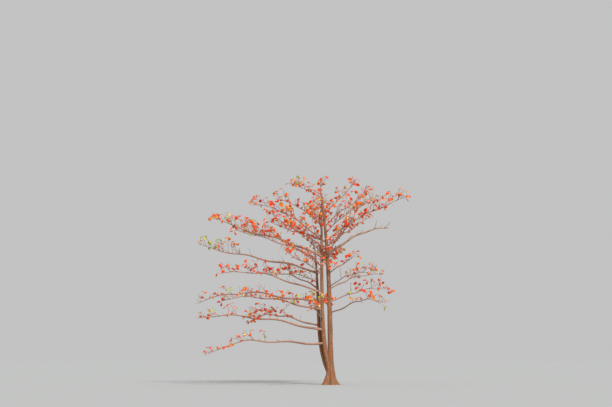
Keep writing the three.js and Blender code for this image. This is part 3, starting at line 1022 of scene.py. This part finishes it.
# Boughs: every limb from its collar at the stem to its tip, through its foliage
boughLook = {
    "furrowScale": 44, "plateScale": 40, "lichenAmount": 0.5, "bump": 0.7, "bumpDistance": 0.007,
    "ridge": (0.56, 0.275, 0.175), "furrow": (0.14, 0.06, 0.042),
    "patch": (0.48, 0.27, 0.185), "lichen": (0.6, 0.48, 0.38),
}
boughMesh = {
    "sides": 18, "stepLength": 0.055, "collar": 0.55, "collarLength": 0.03, "crestOverlap": 0.06, "offset": 2,
}
liveBoughs = [bough for bough in boughs if bough["bare"] < 1]
deadBough = next(bough for bough in boughs if bough["bare"] == 1)
deadNode = "bough_" + deadBough["name"]


def collared(radius):
    # swells where the bough leaves its stem
    return lambda share, angle: radius(share, angle) * (
        1 + boughMesh["collar"] * math.exp(-max(0, share) / boughMesh["collarLength"]))


def makeBoughBark():
    limbs = noLimbs()
    crests = masses[-len(crestPlan):]
    for i, limb in enumerate(liveBoughs + crests):
        isCrest = limb in crests
        steps = math.ceil((limb["length"] if isCrest else limb["reach"]) / boughMesh["stepLength"])
        shares = evenShares(steps, -boughMesh["crestOverlap"] if isCrest else 0)
        radius = limb["radius"] if isCrest else collared(limb["radius"])
        addLimb(limbs, limb["path"], radius, shares, boughMesh["sides"], i * boughMesh["offset"])
    piece = limbObject("boughBark", limbs, barkMaterial("boughBark", boughLook))
    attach(piece, "root")
    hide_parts(*[node for node in frame["nodes"] if node.startswith("bough_") and node != deadNode])
    return len(limbs["faces"])


print("boughs:", makeBoughBark(), "faces")

# The dead limb: paler, peeled in places, with broken spurs
deadLook = {
    "furrowScale": 34, "plateScale": 20, "lichenAmount": 0.75, "bump": 0.6, "bumpDistance": 0.006,
    "ridge": (0.58, 0.38, 0.26), "furrow": (0.2, 0.11, 0.07),
    "patch": (0.62, 0.44, 0.32), "lichen": (0.66, 0.56, 0.44),
}
deadSpurs = {
    "seed": 90, "count": 9, "from": 0.3, "to": 0.97, "jitter": 0.8, "turn": (30, 62), "rise": (-12, 48),
    "reach": (0.18, 0.75), "lift": 0.3, "radius": (0.02, 0.011), "sides": 8, "steps": 9, "offset": 2,
    "firstOffset": 5,
}


def makeDeadLimb():
    draw = drawsFrom(deadSpurs["seed"])
    path = deadBough["path"]
    limbs = noLimbs()
    steps = math.ceil(deadBough["reach"] / boughMesh["stepLength"])
    addLimb(limbs, path, collared(deadBough["radius"]), evenShares(steps), boughMesh["sides"], 0)
    along = deadSpurs["to"] - deadSpurs["from"]
    thick, thin = deadSpurs["radius"]
    for i in range(deadSpurs["count"]):
        share = deadSpurs["from"] + along * (i + deadSpurs["jitter"] * draw()) / deadSpurs["count"]
        turn, rise, reach = drawShoot(deadSpurs, i, draw)
        direction = wayOut(tangentOf(path, share) * levelPart, turn, rise)
        root = path(share)

        def spurPath(s):
            return root + direction * reach * s + upward * deadSpurs["lift"] * reach * s**2

        def spurRadius(s, angle):
            return thick + (thin - thick) * s

        offset = i * deadSpurs["offset"] + deadSpurs["firstOffset"]
        addLimb(limbs, spurPath, spurRadius, evenShares(deadSpurs["steps"]), deadSpurs["sides"], offset)
    piece = limbObject("deadLimb", limbs, barkMaterial("deadBark", deadLook))
    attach(piece, "root")
    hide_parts(deadNode)
    return len(limbs["faces"])


print("dead limb:", makeDeadLimb(), "faces")


# Helpers for Geometry Nodes
def newGeometryGroup(name, inputs):
    geometry = {"Geometry": "Geometry"}
    return newGroup(name, "GeometryNodeTree", {**geometry, **inputs}, geometry)


def namedAttribute(group, name, kind):
    node = group.nodes.new("GeometryNodeInputNamedAttribute")
    node.data_type = kind
    return setInputs(group, node, {"Name": name}).outputs["Attribute"]


def endTree(group, geometry, material, result):
    real = addNode(group, "GeometryNodeRealizeInstances", {0: geometry})
    finished = addNode(group, "GeometryNodeSetMaterial", {0: real.outputs[0], "Material": material})
    setInputs(group, result, {0: finished.outputs[0]})


def builtBy(source, group, values, name):
    # runs the tree on the source object and keeps its result as a plain mesh
    modifier = source.modifiers.new("build", "NODES")
    modifier.node_group = group
    for item in group.interface.items_tree:
        if item.in_out == "INPUT" and item.name in values:
            modifier[item.identifier] = values[item.name]
    bpy.context.view_layer.update()
    evaluated = source.evaluated_get(bpy.context.evaluated_depsgraph_get())
    mesh = bpy.data.meshes.new_from_object(evaluated)
    bpy.data.objects.remove(source)
    mesh.name = name
    return inScene(name, mesh)


# Twigs: each shoot is a polyline with its radius at each point, and becomes a closed tube
def makeTwigTubes():
    group, given, result = newGeometryGroup("twigTubes", {"Sides": "Int", "Bark": "Material"})
    curve = addNode(group, "GeometryNodeMeshToCurve", {0: given["Geometry"]})
    ring = addNode(group, "GeometryNodeCurvePrimitiveCircle", {"Resolution": given["Sides"], "Radius": 1})
    tube = addNode(group, "GeometryNodeCurveToMesh", {
        "Curve": curve.outputs[0],
        "Profile Curve": ring.outputs[0],
        "Scale": namedAttribute(group, "twigRadius", "FLOAT"),
        "Fill Caps": True,
    })
    smooth = addNode(group, "GeometryNodeSetShadeSmooth", {0: tube.outputs[0]})
    endTree(group, smooth.outputs[0], given["Bark"], result)
    return group


twigLook = {
    "furrowScale": 60, "plateScale": 50, "lichenAmount": 0.3, "bump": 0.5, "bumpDistance": 0.003,
    "ridge": (0.48, 0.24, 0.165), "furrow": (0.18, 0.085, 0.065),
    "patch": (0.54, 0.26, 0.19), "lichen": (0.5, 0.42, 0.34),
    "sides": 6,
}


def makeTwigs():
    points = []
    radii = []
    edges = []
    for line, lineRadii in growth["twigs"]:
        base = len(points)
        points += line
        radii += lineRadii
        edges += [(base + i, base + i + 1) for i in range(len(line) - 1)]
    mesh = newMesh("twigLines", points, edges, [])
    setAttribute(mesh, "twigRadius", "FLOAT", radii)
    bark = barkMaterial("twigBark", twigLook, byAttribute=False)
    values = {"Sides": twigLook["sides"], "Bark": bark}
    piece = builtBy(inScene("twigLines", mesh), makeTwigTubes(), values, "twigs")
    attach(piece, "root")
    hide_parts(*[node for node in frame["nodes"] if node.startswith("foliage_")])
    return len(piece.data.polygons)


print("twigs:", makeTwigs(), "faces")

# Leaves: a few forms of one obovate leaf, each closed, folded on its midrib and bent its own way
leafBlade = {
    "seed": 700,
    "curl": (-0.28, 0.12),
    "fold": (0.1, 0.42),
    "twist": (-0.3, 0.3),
    "wave": (0.01, 0.03),
    "ripples": 9,
    "rippleShift": 2,
    "widthShare": 0.68,
    "widestPower": 1.5,  # more puts the widest place nearer the tip
    "fullPower": 0.75,  # less makes the blade fuller
    "thicknessShare": 0.014,
    "stalk": 0.09,
    "tipWidth": 0.012,
    "stations": (0.24, 0.42, 0.58, 0.72, 0.85, 0.95, 1),
}


def leafMesh(form):
    draw = drawsFrom(leafBlade["seed"] + form)
    curl, fold, twist, wave = (between(leafBlade[bend], draw) for bend in ("curl", "fold", "twist", "wave"))
    stalk = leafBlade["stalk"]
    thick = leafBlade["thicknessShare"] / 2
    stations = [0, stalk, *leafBlade["stations"]]
    points = []
    places = []
    for t in stations:
        blade = max(0, (t - stalk) / (1 - stalk))
        bulge = max(0, math.sin(math.pi * blade ** leafBlade["widestPower"])) ** leafBlade["fullPower"]
        half = 0.5 * leafBlade["widthShare"] * bulge + leafBlade["tipWidth"] / 2
        lift = curl * t * t
        for across in (-1, 0, 1):
            ripple = wave * math.sin(leafBlade["ripples"] * t + leafBlade["rippleShift"] * across)
            x = across * half * math.cos(fold)
            z = lift + abs(across) * half * math.sin(fold) + across * twist * half * t + ripple * abs(across)
            points.append((x, t, z + (thick if across == 0 else 0)))
            places.append((across * half, t, 0))
        points.append((0, t, lift - thick))
        places.append((0, t, 1))
    last = 4 * (len(stations) - 1)
    faces = []
    for i in range(0, last, 4):
        for a, b in ((0, 1), (1, 2), (2, 3), (3, 0)):
            faces.append((i + a, i + b, i + b + 4, i + a + 4))
    faces.append((0, 3, 2, 1))
    faces.append((last, last + 1, last + 2, last + 3))
    mesh = newMesh(f"leafForm{form}", points, [], faces)
    setAttribute(mesh, "leafPlace", "FLOAT_VECTOR", places)
    mesh.shade_smooth()
    return mesh


def makeLeafForms():
    forms = bpy.data.collections.new("leafForms")
    for form in range(leafForm["forms"]):
        mesh = leafMesh(form)
        forms.objects.link(bpy.data.objects.new(mesh.name, mesh))
    return forms


def makeLeafSprays():
    group, given, result = newGeometryGroup("leafSprays", {
        "Forms": "Collection",
        "Size": "Float",
        "Leaf": "Material",
    })
    forms = addNode(group, "GeometryNodeCollectionInfo", {
        "Collection": given["Forms"],
        "Separate Children": True,
        "Reset Children": True,
    })
    turns = namedAttribute(group, "leafTurn", "FLOAT_VECTOR")
    leaves = addNode(group, "GeometryNodeInstanceOnPoints", {
        "Points": given["Geometry"],
        "Instance": forms.outputs[0],
        "Pick Instance": True,
        "Instance Index": namedAttribute(group, "leafForm", "INT"),
        "Rotation": addNode(group, "FunctionNodeEulerToRotation", {0: turns}).outputs[0],
        "Scale": calculate(group, "MULTIPLY", namedAttribute(group, "leafLength", "FLOAT"), given["Size"]),
    })
    endTree(group, leaves.outputs[0], given["Leaf"], result)
    return group


# Leaf pattern: side veins that slant from the midrib, as relief and as a change of gloss
veinForm = {
    "slant": -0.7,
    "stops": [(0, 0.35), (0.8, 0.5), (0.97, 1)],
    "roughness": {"From Min": -1, "To Min": 0.36, "To Max": 0.5},
}
leafLook = {
    "specular": 0.2,
    "veins": 75,
    "bump": 0.4,
    "bumpDistance": 0.002,
    "glow": 0.35,  # light that passes through a thin blade
    "glowRadius": (1, 0.35, 0.15),
    "glowScale": 0.05,
}


def makeVeinPattern():
    inputs = {"Place": "Vector", "Veins": "Float"}
    outputs = {"Height": "Float", "Roughness": "Float"}
    group, given, result = newGroup("veinPattern", "ShaderNodeTree", inputs, outputs)
    parts = addNode(group, "ShaderNodeSeparateXYZ", {0: given["Place"]}).outputs
    outward = calculate(group, "ABSOLUTE", parts["X"])
    slanted = calculate(group, "MULTIPLY_ADD", outward, veinForm["slant"], parts["Y"])
    wave = calculate(group, "SINE", calculate(group, "MULTIPLY", slanted, given["Veins"]))
    height = greyRamp(group, wave, veinForm["stops"])
    rough = addNode(group, "ShaderNodeMapRange", {"Value": wave, **veinForm["roughness"]})
    setInputs(group, result, {"Height": height, "Roughness": rough.outputs[0]})
    return group


veinPattern = makeVeinPattern()


def leafMaterial(name, colour):
    material, tree, shader = newMaterial(name)
    setInputs(tree, shader, {
        "Base Color": (*colour, 1),
        "Specular IOR Level": leafLook["specular"],
        "Subsurface Weight": leafLook["glow"],
        "Subsurface Radius": leafLook["glowRadius"],
        "Subsurface Scale": leafLook["glowScale"],
    })
    place = placeAttribute(tree, "leafPlace")
    layPattern(tree, shader, veinPattern, leafLook, {"Place": place, "Veins": leafLook["veins"]})
    return material


def leafTurn(leaf):
    side = leaf["side"]
    direction = leaf["direction"]
    normal = np.cross(side, direction)
    return Matrix((side, direction, normal)).transposed().to_euler()


def makeLeaves(tint, forms, group):
    leaves = [leaf for leaf in growth["leaves"] if leaf["tint"] == tint]
    mesh = newMesh("leafPoints", [leaf["root"] for leaf in leaves], [], [])
    setAttribute(mesh, "leafTurn", "FLOAT_VECTOR", [leafTurn(leaf) for leaf in leaves])
    setAttribute(mesh, "leafLength", "FLOAT", [leaf["length"] for leaf in leaves])
    setAttribute(mesh, "leafForm", "INT", [leaf["form"] for leaf in leaves])
    look = leafTints[tint]
    material = leafMaterial(tint + "Leaf", look["colour"])
    values = {"Forms": forms, "Size": 1.0, "Leaf": material}
    piece = builtBy(inScene("leafPoints", mesh), group, values, tint + "Leaves")
    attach(piece, "root")
    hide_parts(*[node for node in frame["nodes"] if node.startswith("foliage_")])
    print("leaves:", tint, len(leaves), "leaves,", len(piece.data.polygons), "faces")


forms = makeLeafForms()
leafSprays = makeLeafSprays()
for tint in leafTints:
    makeLeaves(tint, forms, leafSprays)
for form in list(forms.objects):
    bpy.data.objects.remove(form)
bpy.data.collections.remove(forms)

# Stage: a pale floor, a soft sun and an even sky
stageLook = {
    "floorRadius": 400, "floorSides": 96, "floor": (0.41, 0.415, 0.41), "sky": (0.54, 0.545, 0.54),
    "sunStrength": 3.9, "sunAngle": 12, "sunHeading": (50, 0, 24),
}


def makeFloor():
    sides = stageLook["floorSides"]
    radius = stageLook["floorRadius"]
    angles = [2 * math.pi * i / sides for i in range(sides)]
    ring = [(radius * math.cos(angle), radius * math.sin(angle), 0) for angle in angles]
    mesh = newMesh("floor", ring, [], [tuple(range(sides))])
    material, tree, shader = newMaterial("paleFloor")
    setInputs(tree, shader, {"Base Color": (*stageLook["floor"], 1), "Roughness": 1, "Specular IOR Level": 0})
    mesh.materials.append(material)
    floor = inScene("floor", mesh)
    floor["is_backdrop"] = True


def makeLight():
    world = bpy.data.worlds.new("paleSky")
    world.use_nodes = True
    background = world.node_tree.nodes["Background"]
    background.inputs["Color"].default_value = (*stageLook["sky"], 1)
    bpy.context.scene.world = world
    sun = bpy.data.lights.new("softSun", "SUN")
    sun.energy = stageLook["sunStrength"]
    sun.angle = math.radians(stageLook["sunAngle"])
    lamp = inScene("softSun", sun)
    lamp.rotation_euler = [math.radians(angle) for angle in stageLook["sunHeading"]]
    bpy.context.scene.view_settings.view_transform = "Standard"


# Camera: the photograph's frame, seen level from far off and tilted up a little
view = {
    "width": 612, "height": 407, "metresPerPixel": 0.065, "footX": 330, "footY": 383,
    "distance": 80, "eyeHeight": 1.8, "sensor": 36, "farthest": 1000,
}


def makeCamera():
    centreX = (view["width"] / 2 - view["footX"]) * view["metresPerPixel"]
    centreZ = (view["footY"] - view["height"] / 2) * view["metresPerPixel"]
    pitch = math.atan2(centreZ - view["eyeHeight"], view["distance"])
    halfWidth = view["width"] / 2 * view["metresPerPixel"]
    camera = bpy.data.cameras.new("camera")
    camera.sensor_width = view["sensor"]
    camera.lens = view["sensor"] / 2 * (view["distance"] / math.cos(pitch)) / halfWidth
    camera.clip_end = view["farthest"]
    holder = inScene("camera", camera)
    holder.location = (centreX, -view["distance"], view["eyeHeight"])
    holder.rotation_euler = (math.pi / 2 + pitch, 0, 0)
    bpy.context.scene.camera = holder


makeFloor()
makeLight()
makeCamera()
low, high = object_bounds()
visualSize, cadSize = ([round(b - a, 3) for a, b in zip(*box)] for box in ((low, high), (cadLow, cadHigh)))
print("size:", visualSize, "of", cadSize)
